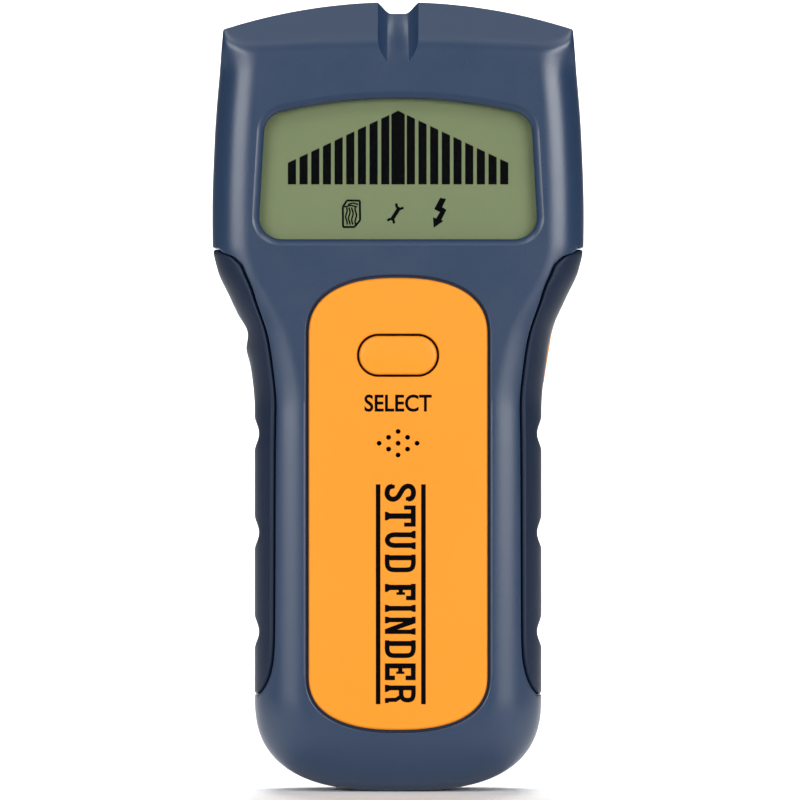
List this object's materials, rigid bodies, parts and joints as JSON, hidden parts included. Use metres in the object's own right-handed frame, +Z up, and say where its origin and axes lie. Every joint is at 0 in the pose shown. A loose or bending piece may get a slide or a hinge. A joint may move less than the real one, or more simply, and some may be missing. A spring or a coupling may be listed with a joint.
{
  "type": "stud finder",
  "caption": "Hand-held wall scanner with a waisted two-part casing, soft side grips, an arched display, an orange face panel, two buttons and a hinged battery door.",
  "frame": {"origin": "under the middle of the casing, at the height of its lowest point, halfway through its thickness", "axes": "+Z up along the casing to the marking notch, +Y out of the back that slides along the wall, -Y out of the display, +X to the right as the display is read"},
  "size_m": [0.0776, 0.029, 0.1649],
  "materials": {
    "casing": "satin dark blue moulded plastic",
    "grip": "soft dark blue grip",
    "panel": "bright orange moulded plastic",
    "button": "bright orange, slightly glossy",
    "window": "clear window",
    "lcd": "green reflective liquid-crystal display",
    "black_plastic": "moulded",
    "strip_rubber": "striped connector rubber",
    "board": "green solder mask",
    "copper": "copper",
    "cream_plastic": "moulded",
    "steel": "plated",
    "sleeve": "shrink sleeve",
    "battery_case": "plain wrapped case",
    "red_wire": "insulation",
    "black_wire": "insulation",
    "foam": "closed-cell foam",
    "felt": "felt",
    "label": "blank film label",
    "nylon": "nylon"
  },
  "bodies": {
    "casing": {"front_shell": "casing", "rear_shell": "casing", "left_grip": "grip", "right_grip": "grip", "face_panel": "panel", "display_window": "window", "lcd_glass": "lcd", "lcd_frame": "black_plastic", "lcd_connector_strip": "strip_rubber", "main_board": "board", "sensor_board": "board", "sensor_plate_left": "copper", "sensor_plate_middle": "copper", "sensor_plate_right": "copper", "detector_coil": "copper", "select_switch": "black_plastic", "power_switch": "black_plastic", "control_chip": "black_plastic", "amplifier_chip": "black_plastic", "crystal": "steel", "capacitor_1": "sleeve", "capacitor_2": "sleeve", "buzzer": "black_plastic", "board_header": "black_plastic", "battery": "battery_case", "battery_plus": "steel", "battery_minus": "steel", "battery_snap": "black_plastic", "battery_lead_red": "red_wire", "battery_lead_black": "black_wire", "top_glide": "felt", "left_glide": "felt", "right_glide": "felt", "back_label": "label", "board_spacer_1": "nylon", "board_spacer_2": "nylon", "board_spacer_3": "nylon", "board_spacer_4": "nylon", "case_screw_1": "steel", "case_screw_2": "steel", "case_screw_3": "steel", "case_screw_4": "steel", "board_screw_1": "steel", "board_screw_2": "steel", "board_screw_3": "steel", "board_screw_4": "steel", "board_screw_5": "steel", "board_screw_6": "steel"},
    "battery_door": {"battery_door": "casing", "door_foam": "foam"},
    "select_button": {"select_button": "button", "select_switch_plunger": "cream_plastic"},
    "power_button": {"power_button": "button", "power_switch_plunger": "cream_plastic"}
  },
  "joints": [
    {"name": "door_hinge", "type": "hinge", "parent": "casing", "child": "battery_door", "pos_m": [0, 0.0122, 0.0613], "axis": [1, 0, 0], "range_deg": [0, 90]},
    {"name": "select_press", "type": "slide", "parent": "casing", "child": "select_button", "axis": [0, 1, 0], "range_m": [0, 0.0006], "stiffness_N_per_m": 2500},
    {"name": "power_press", "type": "slide", "parent": "casing", "child": "power_button", "axis": [-1, 0, 0], "range_m": [0, 0.0006], "stiffness_N_per_m": 2500}
  ]
}
